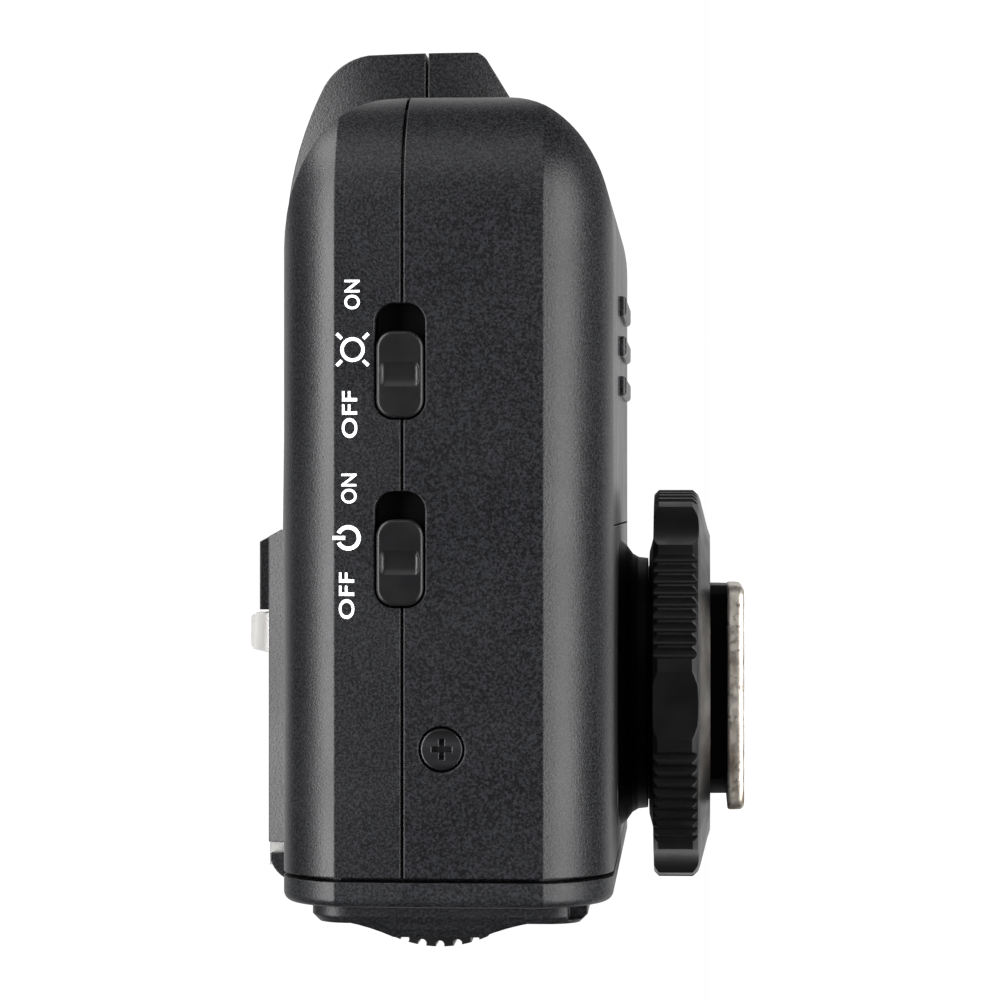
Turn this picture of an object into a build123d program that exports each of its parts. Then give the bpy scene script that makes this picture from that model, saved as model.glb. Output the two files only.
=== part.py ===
from build123d import *
import os
from math import acos, degrees, radians, sin, sqrt

# Wireless flash trigger. Millimetres. +Z is up, +Y is the front (lamp side), +X is the switch side.
# The origin lies on the lock ring's axis, on the underside of the metal foot plate.

# ---- case ----
HALF_WIDTH = 36.0
CASE_BOTTOM = 10.4
CASE_TOP = 36.0
CASE_FRONT = 47.0
SHELL_REAR = -13.2
PARTING_Z = 26.3
PARTING_GAP = 0.25
WALL = 1.6
FLAT_LOW = 15.6
FLAT_HIGH = 31.5
FLANK_DRAFT = 0.32  # how far the upper half's sides lean in between the parting line and FLAT_HIGH
TOP_FLANK_R = 7.0
BOTTOM_FLANK_R = 8.0
FRONT_CORNER_R = 9.5
TOP_CURVE = (33.4, 26.7, 13.6, 9.3)
BOTTOM_CURVE = (36.0, 19.4, 11.0, 9.0)
CLEAR = 0.1
FAR = 60.0  # beyond the object on every side, for cutting blocks
BOSS_POINTS = [(-27.5, 3.2), (25.5, 3.2), (-27.5, 36.5), (25.5, 36.5)]
LOWER_SCREWS = [(-29.5, -8.9), (14.5, -8.9)]

# ---- front hump and shoe platform ----
HUMP_FRONT = 52.75
HUMP_TOP = 38.1
HUMP_CROWN = (43.4, 37.35)
HUMP_BROW = (49.5, 35.15)
HUMP_NOSE_TOP = 31.2
HUMP_CHEEK = (51.6, 33.4)
HUMP_THROAT = (41.5, 14.9)
HUMP_NOSE_LOW = 22.15
HUMP_HALF = (13.6, 9.0)  # half width at the rear and at the front
HUMP_SIDE_R = 26.0
LAMP_WINDOW = (6.0, 27.4, 33.6)  # half width, foot and head
LAMP_SEAT_Y = 48.9
LAMP_INSET = 0.25
PLATFORM_TOP = 39.15
PLATFORM_HALF = 12.3
PLATFORM_BASE_HALF = 13.4
FENCE_TOP = 39.95
FENCE_REAR = 6.5
FENCE_FRONT = 12.1
PLATFORM_REAR = -12.6
PLATFORM_FRONT = 13.1

# ---- rear cap ----
CAP_GAP = 0.35
CAP_EDGE_Y = -15.5
FASCIA_Y = -16.9
FASCIA_HALF = 33.8
FASCIA_LOW = 12.35
FASCIA_HIGH = 33.6
POD_X = (17.0, 31.0)
POD_Y = -18.3
POD_LOW = (14.4, 17.4, 20.6)
POD_HIGH = (27.4, 30.4, 33.0)
DIAL_Y = -10.3
DIAL_Z = 23.97
DIAL_R = 9.0
DIAL_TEETH = 40
TOOTH_GAP_R = 0.34
TOOTH_GAP_IN = 0.12
DIAL_X = (20.2, 27.8)
AXLE_R = 1.25

# ---- controls ----
LCD_X = (-29.0, 4.0)
LCD_Z = (20.2, 31.6)
BUTTON_Z = 15.9
BUTTON_X = {"mode_button": -24.5, "group_button": -16.3, "channel_button": -8.1, "function_button": 0.1}
BUTTON_SIZE = (5.6, 2.9)
BUTTON_PROUD = 0.9
FLANGE_Y = (-15.2, -14.6)
TEST_X = 10.6
TEST_Z = 27.4
TEST_R = 3.1
LIGHT_Z = 18.6
LIGHT_R = 1.1
SLOT_Z = 26.46
SLOT_WIDTH = 3.9
SLOT_CORNER = 1.5
SLOT_LENGTH = 8.9
KNOB_WIDTH = 3.6
KNOB_CORNER = 1.35
KNOB_FACE = 36.25
KNOB_LENGTH = 6.6
GROOVE_R = 1.5
GROOVE_DEPTH = 0.32
SWITCHES = {"power": 7.32, "lamp": 21.62}
SIDE_SCREW = (-3.4, 23.3)
SCREW_HEAD_R = 1.65

# ---- battery ----
DOOR_REAR = 13.6
DOOR_HALF = 27.5
DOOR_TOP = 17.5
DOOR_THICK = 1.3
DOOR_GAP = 0.15
RIB_Y = (24.95, 28.25, 31.55)
RIB_HALF = 10.0
RIB_WIDTH = 1.6
RIB_PROUD = 0.65
CELL_R = 7.25
CELL_LENGTH = 49.5
CELL_Z = 20.0
CELL_Y = {"front": 36.4, "rear": 21.3}
CELL_SHIFT = 2.2
CELL_NUB = 1.0
TRAY_HALF = 29.6
TRAY_WALL = 0.9
CONTACT_FACE = TRAY_HALF - TRAY_WALL
CONTACT_THICK = 0.4

# ---- foot ----
PLATE_HALF = 9.3
PLATE_Y = (-10.15, 8.45)
PLATE_THICK = 1.45
BLOCK_HALF = 6.2
BLOCK_Y = (-9.1, 8.4)
STEM_R = 9.9
NECK_R = 10.6
RING_R = 16.4
RING_BOTTOM = 2.85
RING_RIM = (3.85, 7.55)
RING_TOP = 7.95
NECK_BOTTOM = 8.1
RING_BORE = 9.95
LIFTER_Z = (5.7, 6.4)
SCALLOPS = 6
SCALLOP_ANGLE = -4.0
SCALLOP_DEPTH = 0.6
SCALLOP_HALF_ANGLE = 12.5
RIDGE_PITCH = 3.75
RIDGES = 9
RIDGE_GROOVE_R = 0.44
PIN_Y = 6.9
PIN_R = 1.0
FOOT_SCREWS = [(-4.2, 5.9), (4.2, 5.9), (-4.2, -7.3), (4.2, -7.3)]
FOOT_PINS = [(-4.0, -1.9), (4.0, -1.9), (-2.1, -4.5), (2.1, -4.5)]
FOOT_PIN_R = 0.65
FOOT_CENTRE_R = 1.0
WINDOW_Y = (-6.0, 4.4)
WINDOW_HALF = 5.6

# ---- top shoe ----
SHOE_FLOOR = 35.7
LIP_UNDER = 37.85
LIP_TOP = 39.3
SHOE_INNER = 9.4
SHOE_OUTER = 10.9
LIP_INNER = 6.35
SHOE_STOP = 5.8
RAIL_REAR = -14.6
TAB_TOP = 40.9
SHOE_CONTACTS = [(0, -3.4, 1.6), (-4.4, -5.4, 0.8), (4.4, -5.4, 0.8), (-2.2, -7.6, 0.8), (2.2, -7.6, 0.8)]
SHOE_SCREWS = [(-6.6, 1.6), (6.6, 1.6), (-6.6, -9.6), (6.6, -9.6)]

# ---- boards ----
BOARD_Z = 28.35
BOARD_THICK = 1.2
BOARD_X = (-31.0, 29.0)
BOARD_Y = (-4.5, 42.0)
JACK_Y = 5.2
JACK_Z = 19.9
USB_Y = -2.4
USB_Z = 18.3
PORT_BOARD_Z = 15.6
JACK_BORE_R = 1.25


def block(x, y, z):
    """Box between two limits along each axis."""
    size = [limits[1] - limits[0] for limits in (x, y, z)]
    middle = [(limits[0] + limits[1]) / 2 for limits in (x, y, z)]
    return Pos(*middle) * Box(*size)


def rod_x(x, y, z, radius):
    """Cylinder along X between two limits."""
    return Pos((x[0] + x[1]) / 2, y, z) * Rot(0, 90, 0) * Cylinder(radius, x[1] - x[0])


def rod_y(x, y, z, radius):
    """Cylinder along Y between two limits."""
    return Pos(x, (y[0] + y[1]) / 2, z) * Rot(90, 0, 0) * Cylinder(radius, y[1] - y[0])


def rod_z(x, y, z, radius):
    """Cylinder along Z between two limits."""
    return Pos(x, y, (z[0] + z[1]) / 2) * Cylinder(radius, z[1] - z[0])


def turned(points):
    """Solid of revolution about Z from (radius, height) points."""
    return revolve(Plane.XZ * make_face(Polyline(*points, close=True)), Axis.Z)


def side_plate(points, x):
    """Prism along X between two limits from (y, z) points."""
    face = Plane.YZ * make_face(Polyline(*points, close=True))
    return Pos(x[0], 0, 0) * extrude(face, x[1] - x[0])


def key_x(x, y, z, width, corner):
    """Bar along Y with rounded corners, standing through X."""
    bar = block(x, y, (z - width / 2, z + width / 2))
    return fillet(bar.edges().filter_by(Axis.X), corner)


def pill_y(x, y, z, width):
    """Round-ended bar along X, standing through Y."""
    ends = (x[0] + width / 2, x[1] - width / 2)
    bar = block(ends, y, (z - width / 2, z + width / 2))
    return bar + rod_y(ends[0], y, z, width / 2) + rod_y(ends[1], y, z, width / 2)


def coil(radius, wire, height, turns):
    """Helical spring along +Z, with its ends cut off square."""
    pitch = height / turns
    path = Helix(pitch=pitch, height=height, radius=radius)
    start = Plane(origin=path @ 0, z_dir=path % 0)
    return sweep(start * Circle(wire), path=path, is_frenet=True)


def cross_recess(arm, width, depth):
    """Cross-shaped driver recess that reaches down from z = 0."""
    bar = Pos(0, 0, -depth / 2) * Box(2 * arm, width, depth)
    return bar + Rot(0, 0, 90) * bar


def screw(head_r, head_h, shank_r, length, recess):
    """Pan-head screw: head top at z = 0, shank down along -Z."""
    head = Pos(0, 0, -head_h / 2) * Cylinder(head_r, head_h)
    head = fillet(head.edges().sort_by(Axis.Z)[-1], head_h * 0.35)
    shank = Pos(0, 0, -head_h - length / 2) * Cylinder(shank_r, length)
    return head + shank - cross_recess(recess, recess * 0.55, head_h * 0.65)


def save(name, shape):
    """Write one node as parts/NODE.step."""
    solids = shape.solids()
    export_step(solids[0] if len(solids) == 1 else Compound(children=list(solids)), f"parts/{name}.step")


# ---------------------------------------------------------------- case outline
def section_face(inset):
    """Case cross-section across X: flat sides between two creases, convex flanks above and below."""
    half = HALF_WIDTH - inset
    edges = []
    ends = {}
    for name, flat, limit, radius, up, lean in (
        ("top", FLAT_HIGH, CASE_TOP, TOP_FLANK_R, 1, FLANK_DRAFT),
        ("bottom", FLAT_LOW, CASE_BOTTOM, BOTTOM_FLANK_R, -1, 0),
    ):
        rise = abs(limit - flat)
        centre_x = HALF_WIDTH - lean - sqrt(2 * radius * rise - rise**2)
        centre_z = limit - up * radius
        small = radius - inset
        start = degrees(acos((half - lean - centre_x) / small))
        for side in (1, -1):
            first = start if side == 1 else 180 - start
            sweep_angle = (90 - start) * side
            edges.append(CenterArc((side * centre_x, centre_z), small, up * first, up * sweep_angle))
        ends[name] = (centre_x, centre_z + up * small, centre_z + up * small * sin(radians(start)))
    for name in ("top", "bottom"):
        x, z, _ = ends[name]
        edges.append(Line((-x, z), (x, z)))
    for side in (1, -1):
        seam = (side * half, PARTING_Z)
        edges.append(Line((side * half, ends["bottom"][2]), seam))
        edges.append(Line(seam, (side * (half - FLANK_DRAFT), ends["top"][2])))
    return make_face(edges)


def profile_face(inset, rear):
    """Case profile along Y: level top and bottom, elliptical nose."""
    top_y, top_z, top_a, top_b = TOP_CURVE
    low_y, low_z, low_a, low_b = BOTTOM_CURVE
    top_a, top_b = top_a - inset, top_b - inset
    low_a, low_b = low_a - inset, low_b - inset
    edges = [
        Line((rear, low_z - low_b), (low_y, low_z - low_b)),
        EllipticalCenterArc((low_y, low_z), low_a, low_b, 270, arc_size=90),
        Line((low_y + low_a, low_z), (top_y + top_a, top_z)),
        EllipticalCenterArc((top_y, top_z), top_a, top_b, 0, arc_size=90),
        Line((top_y, top_z + top_b), (rear, top_z + top_b)),
        Line((rear, top_z + top_b), (rear, low_z - low_b)),
    ]
    return make_face(edges)


def case_form(inset, rear=SHELL_REAR):
    """The case's closed outer form, or its inside when inset by the wall."""
    axis_x = HALF_WIDTH - FRONT_CORNER_R
    axis_y = CASE_FRONT - FRONT_CORNER_R
    section = Pos(0, axis_y, 0) * (Plane.XZ * section_face(inset))
    form = extrude(section, axis_y - rear)
    flank = section & block((axis_x, FAR), (axis_y - 1, axis_y + 1), (0, FAR))
    corner = revolve(flank, Axis((axis_x, axis_y, 0), (0, 0, 1)), 90)
    form += corner + mirror(corner, Plane.YZ)
    heights = (CASE_BOTTOM + inset, CASE_TOP - inset)
    form += block((-axis_x, axis_x), (axis_y - 1, CASE_FRONT - inset), heights)
    return form & extrude(Plane.YZ * profile_face(inset, rear), 45, both=True)


def hump_section(half, y):
    """Cross-section of the hump with bulging sides."""
    low, middle, high = 13.0, 28.0, 43.0
    waist = half - HUMP_SIDE_R + sqrt(HUMP_SIDE_R**2 - (high - middle) ** 2)
    right = ThreePointArc((waist, low), (half, middle), (waist, high))
    left = ThreePointArc((-waist, high), (-half, middle), (-waist, low))
    sides = [right, Line((waist, high), (-waist, high)), left, Line((-waist, low), (waist, low))]
    return Pos(0, y, 0) * (Plane.XZ * make_face(sides))


def hump_form(inset):
    """Front lamp housing and the spine behind it that runs to the shoe platform."""
    front = HUMP_FRONT - inset
    top = HUMP_TOP - inset
    crown = (HUMP_CROWN[0] - 0.2 * inset, HUMP_CROWN[1] - 0.97 * inset)
    brow = (HUMP_BROW[0] - 0.5 * inset, HUMP_BROW[1] - 0.85 * inset)
    cheek = (HUMP_CHEEK[0] - 0.85 * inset, HUMP_CHEEK[1] - 0.5 * inset)
    nose = (front - 0.3, HUMP_NOSE_TOP - 0.1 * inset)
    chin = (front - 0.05, HUMP_NOSE_LOW + 0.7 * inset)
    jaw = (front - 0.6, HUMP_NOSE_LOW - 0.75 + 0.85 * inset)
    throat = (HUMP_THROAT[0], HUMP_THROAT[1] + 1.15 * inset)
    edges = [
        Line((36.5, top), (10.0, top)),
        Line((10.0, top), (10.0, 30.0)),
        Line((10.0, 30.0), (38.0, 24.0)),
        Line((38.0, 24.0), throat),
        Line(throat, jaw),
        ThreePointArc(jaw, (front - 0.2, HUMP_NOSE_LOW - 0.3 + 0.8 * inset), chin),
        Line(chin, nose),
        ThreePointArc(nose, cheek, brow),
        ThreePointArc(brow, crown, (36.5, top)),
    ]
    body = extrude(Plane.YZ * make_face(edges), 30, both=True)
    rear, fore = HUMP_HALF
    return body & loft([hump_section(rear - inset, 9.0), hump_section(fore - inset, 56.0)], ruled=True)


def platform_form():
    """Raised platform that carries the top shoe, with a fence in front of it."""
    rows = (CASE_TOP - 1.0, PLATFORM_TOP)
    base = Pos(0, 0, rows[0]) * Rectangle(2 * PLATFORM_BASE_HALF + 0.7, FAR)
    crown = Pos(0, 0, rows[1]) * Rectangle(2 * PLATFORM_HALF, FAR)
    ridge = loft([base, crown])
    brow = [(PLATFORM_FRONT, 0), (PLATFORM_FRONT, HUMP_TOP), (FENCE_FRONT, FENCE_TOP)]
    ridge = ridge & side_plate([(PLATFORM_REAR, 0), *brow, (PLATFORM_REAR, FENCE_TOP)], (-FAR, FAR))
    fence = side_plate(
        [
            (FENCE_REAR, CASE_TOP),
            (FENCE_REAR, FENCE_TOP),
            (FENCE_FRONT, FENCE_TOP),
            (PLATFORM_FRONT, HUMP_TOP),
            (PLATFORM_FRONT, CASE_TOP),
        ],
        (0.5 - PLATFORM_HALF, PLATFORM_HALF - 0.5),
    )
    return ridge + fence


def parting_rebate(inset, z):
    """Band of the case wall around the parting line, used for the tongue and its rebate."""
    band = block((-FAR, FAR), (SHELL_REAR, FAR), z)
    return (case_form(inset) + hump_form(inset)) & band


outer = case_form(0) + hump_form(0)
inner = case_form(WALL, rear=SHELL_REAR - 5) + hump_form(WALL)
tongue_outer = parting_rebate(0.85, (PARTING_Z - 0.5, PARTING_Z + 1.1))
rebate_outer = parting_rebate(0.75, (PARTING_Z - 0.5, PARTING_Z + 1.2))
UPPER_LIMIT = block((-FAR, FAR), (-FAR, FAR), (PARTING_Z + PARTING_GAP / 2, FAR))
LOWER_LIMIT = block((-FAR, FAR), (-FAR, FAR), (0, PARTING_Z - PARTING_GAP / 2))

# Openings in the side wall: two switch slots and two screw seats.
switch_slots = Part()
for start in SWITCHES.values():
    switch_slots += key_x((30, 40), (start, start + SLOT_LENGTH), SLOT_Z, SLOT_WIDTH, SLOT_CORNER)
screw_seats = Part()
for side in (1, -1):
    seat = sorted((side * (HALF_WIDTH - 0.75), side * (HALF_WIDTH + 1)))
    screw_seats += rod_x(seat, *SIDE_SCREW, SCREW_HEAD_R + 0.13)
    hole = sorted((side * (HALF_WIDTH - 6), side * HALF_WIDTH))
    screw_seats += rod_x(hole, *SIDE_SCREW, 1.05)

# ---------------------------------------------------------------- upper shell
SHOE_POCKET = block((-SHOE_OUTER - CLEAR, SHOE_OUTER + CLEAR), (SHELL_REAR - 1, FENCE_REAR), (33.9, FAR))


def upper_shell():
    """Top half of the case with the lamp hump, shoe platform, pocket and board bosses."""
    skin = (outer + platform_form()) - inner
    deck = block((-13.0, 13.0), (SHELL_REAR, 12.5), (32.4, CASE_TOP - 0.8))
    skin += deck
    skin = skin - SHOE_POCKET
    for x, y in BOSS_POINTS:
        skin += rod_z(x, y, (BOARD_Z + BOARD_THICK, CASE_TOP - 1.0), 2.3)
        skin -= rod_z(x, y, (BOARD_Z - 1, CASE_TOP - 2.6), 0.8)
    for x, y in LOWER_SCREWS:
        skin += rod_z(x, y, (PARTING_Z + 2.2, CASE_TOP - 1.0), 2.6)
        skin -= rod_z(x, y, (PARTING_Z, CASE_TOP - 3.0), 0.85)
    for x, y in SHOE_SCREWS:
        skin -= rod_z(x, y, (30, 36), 0.75)
    skin = skin & UPPER_LIMIT
    skin -= rebate_outer - inner
    skin -= switch_slots
    skin -= lamp_opening(0.05)
    skin -= block((-8.0, 8.0), (-9.0, -1.0), (30, 40))
    return skin


def lamp_opening(grow):
    """Lamp window's opening, out through the front of the hump."""
    half, low, high = LAMP_WINDOW
    return block((-half - grow, half + grow), (LAMP_SEAT_Y - grow, FAR), (low - grow, high + grow))


# ---------------------------------------------------------------- lower shell
def lower_shell():
    """Bottom half of the case with the door opening, tongue, screw bosses and port openings."""
    skin = outer & LOWER_LIMIT
    skin = skin - inner
    skin += tongue_outer - inner
    half = DOOR_HALF + DOOR_GAP
    opening = block((-half, half), (DOOR_REAR - DOOR_GAP, FAR), (0, DOOR_TOP + DOOR_GAP))
    skin -= opening
    skin -= switch_slots
    for side in (1, -1):
        boss = sorted((side * (HALF_WIDTH - 6), side * (HALF_WIDTH - 1)))
        skin += rod_x(boss, *SIDE_SCREW, 2.4)
    skin -= screw_seats
    for x, y in LOWER_SCREWS:
        skin += rod_z(x, y, (CASE_BOTTOM + 0.5, PARTING_Z + 2.1), 2.6)
        skin -= rod_z(x, y, (CASE_BOTTOM - 1, PARTING_Z + 3), 1.15)
        skin -= rod_z(x, y, (CASE_BOTTOM - 1, CASE_BOTTOM + 1.9), 2.1)
    skin -= rod_z(0, 0, (0, 14), NECK_R + 1.6)
    skin -= rod_x((-40, -30), JACK_Y, JACK_Z, 2.65)
    skin -= block((-40, -30), (USB_Y - 4.1, USB_Y + 4.1), (USB_Z - 1.75, USB_Z + 1.75))
    return skin


# ---------------------------------------------------------------- rear cap
def cap_slab(inset, y):
    """Slab of the case cross-section between two Y limits."""
    return Pos(0, y[1], 0) * extrude(Plane.XZ * section_face(inset), y[1] - y[0])


def pod_form():
    """Raised housing around the thumb wheel, with concave slopes up from the fascia."""
    base = FASCIA_Y + 2
    (low_foot, low_waist, low_top), (high_top, high_waist, high_foot) = POD_LOW, POD_HIGH
    edges = [
        Line((base, low_foot), (FASCIA_Y, low_foot)),
        ThreePointArc((FASCIA_Y, low_foot), (FASCIA_Y - 0.4, low_waist), (POD_Y, low_top)),
        Line((POD_Y, low_top), (POD_Y, high_top)),
        ThreePointArc((POD_Y, high_top), (FASCIA_Y - 0.4, high_waist), (FASCIA_Y, high_foot)),
        Line((FASCIA_Y, high_foot), (base, high_foot)),
        Line((base, high_foot), (base, low_foot)),
    ]
    pod = Pos(POD_X[0], 0, 0) * extrude(Plane.YZ * make_face(edges), POD_X[1] - POD_X[0])
    ends = [e for e in pod.edges() if e.center().Y < FASCIA_Y - 0.3 and abs(e.tangent_at(0.5).X) < 0.1]
    return chamfer(ends, 0.7)


def fascia_form():
    """Second step of the rear cap: the flat panel that carries display, buttons and dial pod."""
    panel = block((-FASCIA_HALF, FASCIA_HALF), (FASCIA_Y, CAP_EDGE_Y + 1), (FASCIA_LOW, FASCIA_HIGH))
    panel = fillet(panel.edges().filter_by(Axis.Y), 3.0)
    return chamfer(panel.faces().sort_by(Axis.Y)[0].edges(), 0.55)


def spine_cap_form():
    """The shoe platform's last stretch, which rounds down at the rear of the cap."""
    arc = ThreePointArc((-14.1, 39.0), (-15.3, 38.2), (-15.9, 36.5))
    edges = [
        Line((SHELL_REAR - CAP_GAP, 39.0), (-14.1, 39.0)),
        arc,
        Line((-15.9, 36.5), (-15.4, 34.5)),
        Line((-15.4, 34.5), (SHELL_REAR - CAP_GAP, 34.5)),
        Line((SHELL_REAR - CAP_GAP, 34.5), (SHELL_REAR - CAP_GAP, 39.0)),
    ]
    return extrude(Plane.YZ * make_face(edges), 12.3, both=True)


def rear_cap():
    """Rear control panel moulding, with its locating tongue, windows and dial opening."""
    front = SHELL_REAR - CAP_GAP
    edge = cap_slab(0, (CAP_EDGE_Y, front))
    edge = fillet(edge.faces().sort_by(Axis.Y)[0].edges(), 0.75)
    tongue = cap_slab(WALL + 0.12, (front - 0.5, SHELL_REAR + 1.9))
    cap = edge + fascia_form() + pod_form() + spine_cap_form() + tongue
    cap -= cap_slab(WALL + 1.3, (CAP_EDGE_Y + 0.2, SHELL_REAR + 3))
    half = FASCIA_HALF - WALL
    cap -= block((-half, half), (FASCIA_Y + 1.3, 0), (FASCIA_LOW + WALL, FASCIA_HIGH - WALL))
    cap -= rod_x((DIAL_X[0] - 0.3, DIAL_X[1] + 0.3), DIAL_Y, DIAL_Z, DIAL_R + 0.4)
    cap -= block((LCD_X[0], LCD_X[1]), (-30, 0), (LCD_Z[0], LCD_Z[1]))
    ledge = block((LCD_X[0] - 1.5, LCD_X[1] + 1.5), (-30, FASCIA_Y + 0.8), (LCD_Z[0] - 1.0, LCD_Z[1] + 1.0))
    cap -= ledge & block((-FAR, FAR), (FASCIA_Y - 0.1, FASCIA_Y + 0.8), (0, FAR))
    for x in BUTTON_X.values():
        half = BUTTON_SIZE[0] / 2 + 0.15
        cap -= pill_y((x - half, x + half), (-30, 0), BUTTON_Z, BUTTON_SIZE[1] + 0.3)
    cap -= rod_y(TEST_X, (-30, 0), TEST_Z, TEST_R + 0.15)
    cap -= rod_y(TEST_X, (-30, 0), LIGHT_Z, LIGHT_R + 0.03)
    cap -= block((-SHOE_OUTER - CLEAR, SHOE_OUTER + CLEAR), (-30, 0), (SHOE_FLOOR, FAR))
    cap -= block((30.8, 40), (FASCIA_Y + 0.3, CAP_EDGE_Y), (11.0, 13.8))
    cap -= block((-13.3, 13.3), (SHELL_REAR - 0.3, 0), (32.2, FAR))
    for x, y in LOWER_SCREWS:
        cap -= rod_z(x, y, (5, 40), 2.9)
    return cap


def lcd_window():
    """Clear display window, set flush in its rebate in the fascia."""
    depth = (FASCIA_Y - 0.05, FASCIA_Y + 0.75)
    plate = block((LCD_X[0] - 1.4, LCD_X[1] + 1.4), depth, (LCD_Z[0] - 0.9, LCD_Z[1] + 0.9))
    return chamfer(plate.faces().sort_by(Axis.Y)[0].edges(), 0.2)


def button_cap(x):
    """Panel button with a round-ended cap, rounded top edge and a retaining flange inside."""
    half = BUTTON_SIZE[0] / 2
    rear = FASCIA_Y - BUTTON_PROUD
    cap = pill_y((x - half, x + half), (rear, FLANGE_Y[1]), BUTTON_Z, BUTTON_SIZE[1])
    cap = fillet(cap.faces().sort_by(Axis.Y)[0].edges(), 0.35)
    flange = pill_y((x - half - 0.5, x + half + 0.5), FLANGE_Y, BUTTON_Z, BUTTON_SIZE[1] + 0.9)
    return cap + flange


def test_button():
    """Round test button with a dished face and a retaining flange."""
    rear = FASCIA_Y - BUTTON_PROUD - 0.3
    cap = rod_y(TEST_X, (rear, FLANGE_Y[1]), TEST_Z, TEST_R)
    cap = fillet(cap.edges().sort_by(Axis.Y)[0], 0.4)
    cap -= Pos(TEST_X, rear - 7.7, TEST_Z) * Sphere(8.0)
    return cap + rod_y(TEST_X, FLANGE_Y, TEST_Z, TEST_R + 0.6)


def select_dial():
    """Toothed thumb wheel with a running bore."""
    root = DIAL_R - 0.55
    wheel = rod_x(DIAL_X, DIAL_Y, DIAL_Z, DIAL_R)
    pitch = 360 / DIAL_TEETH
    cutters = Part()
    for tooth in range(DIAL_TEETH):
        turned_hub = Pos(sum(DIAL_X) / 2, DIAL_Y, DIAL_Z) * Rot(pitch * tooth, 0, 0)
        slot = turned_hub * Pos(0, DIAL_R - TOOTH_GAP_IN, 0)
        cutters += slot * Rot(0, 90, 0) * Cylinder(TOOTH_GAP_R, FAR)
    wheel -= cutters
    wheel -= rod_x((DIAL_X[0] - 1, DIAL_X[0] + 1.2), DIAL_Y, DIAL_Z, root - 1.2)
    wheel -= rod_x((DIAL_X[1] - 1.2, DIAL_X[1] + 1), DIAL_Y, DIAL_Z, root - 1.2)
    wheel += rod_x(DIAL_X, DIAL_Y, DIAL_Z, 3.0)
    return wheel - rod_x((0, FAR), DIAL_Y, DIAL_Z, AXLE_R + 0.05)


def dial_bracket():
    """U-shaped bracket: two cheeks that hold the axle, joined behind the wheel."""
    bracket = Part()
    for x in ((18.5, 19.7), (28.3, 29.5)):
        bracket += block(x, (-12.6, 0.4), (DIAL_Z - 4.5, DIAL_Z + 4.3))
    bracket += block((18.5, 29.5), (-0.7, 0.4), (DIAL_Z - 4.5, DIAL_Z + 4.3))
    return bracket - rod_x((0, FAR), DIAL_Y, DIAL_Z, AXLE_R)


def dial_encoder():
    """Rotary encoder body on the outer cheek, clear of the axle."""
    body = block((29.5, 31.9), (-12.4, -6.0), (DIAL_Z - 4.2, DIAL_Z + 2.6))
    return body - rod_x((0, FAR), DIAL_Y, DIAL_Z, AXLE_R)


# ---------------------------------------------------------------- slide switches
def switch_knob(start):
    """Slide knob: round-ended bar with a thumb groove across it and a stem to the switch."""
    y = (start + 0.15, start + 0.15 + KNOB_LENGTH)
    cap = key_x((34.2, KNOB_FACE), y, SLOT_Z, KNOB_WIDTH, KNOB_CORNER)
    cap = fillet(cap.faces().sort_by(Axis.X)[-1].edges(), 0.3)
    middle = (y[0] + y[1]) / 2
    groove = Pos(KNOB_FACE + GROOVE_R - GROOVE_DEPTH, middle, SLOT_Z) * Cylinder(GROOVE_R, KNOB_WIDTH - 0.6)
    cap -= fillet(groove.edges(), 0.4)
    stem = block((32.2, 34.3), (middle - 0.9, middle + 0.9), (SLOT_Z - 0.6, SLOT_Z + 0.6))
    return cap + stem


def switch_body(start):
    """Slide switch can behind the wall, open along the stem's travel."""
    middle = start + 0.15 + KNOB_LENGTH / 2
    can = block((30.2, 33.9), (middle - 4.2, middle + 6.4), (SLOT_Z - 1.9, BOARD_Z))
    travel = block((31.6, 35), (middle - 1.1, middle + 3.1), (SLOT_Z - 0.8, SLOT_Z + 0.8))
    return can - travel


# ---------------------------------------------------------------- battery parts
def battery_door():
    """Sliding door under the front with three grip ribs across it."""
    skin = case_form(0) - case_form(DOOR_THICK, rear=SHELL_REAR - 5)
    door = skin & block((-DOOR_HALF, DOOR_HALF), (DOOR_REAR, FAR), (0, DOOR_TOP))
    for y in RIB_Y:
        rib = Pos(0, y, CASE_BOTTOM + 0.15) * Box(2 * RIB_HALF, RIB_WIDTH, 2 * (RIB_PROUD + 0.15))
        low_edges = rib.edges().group_by(Axis.Z)[0]
        door += fillet(low_edges, 0.35)
    return door


def battery_cell(y, sign):
    """AA cell along X with its nub at one end."""
    body = rod_x((-CELL_LENGTH / 2, CELL_LENGTH / 2), y, CELL_Z, CELL_R)
    body = fillet(body.edges(), 0.6)
    nub = sorted((sign * CELL_LENGTH / 2, sign * (CELL_LENGTH / 2 + CELL_NUB)))
    return Pos(sign * CELL_SHIFT, 0, 0) * (body + rod_x(nub, y, CELL_Z, 2.7))


def battery_tray():
    """Open-bottomed tray over the two cells: roof, rear wall and end walls."""
    outside = block((-TRAY_HALF, TRAY_HALF), (12.6, 44.0), (12.2, 28.15)) & case_form(WALL + 0.1)
    inside = block((-CONTACT_FACE, CONTACT_FACE), (13.6, FAR), (0, 27.4))
    tray = outside - inside
    for x, y in BOSS_POINTS:
        tray -= rod_z(x, y, (27.0, 40), 2.1)
    return tray


def battery_contacts():
    """Four nickel plates on the tray's end walls, one behind each cell end."""
    plates = Part()
    for y in CELL_Y.values():
        for side in (1, -1):
            x = sorted((side * CONTACT_FACE, side * (CONTACT_FACE - CONTACT_THICK)))
            plates += block(x, (y - 4.5, y + 4.5), (CELL_Z - 4.5, CELL_Z + 4.5))
    return plates


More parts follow.
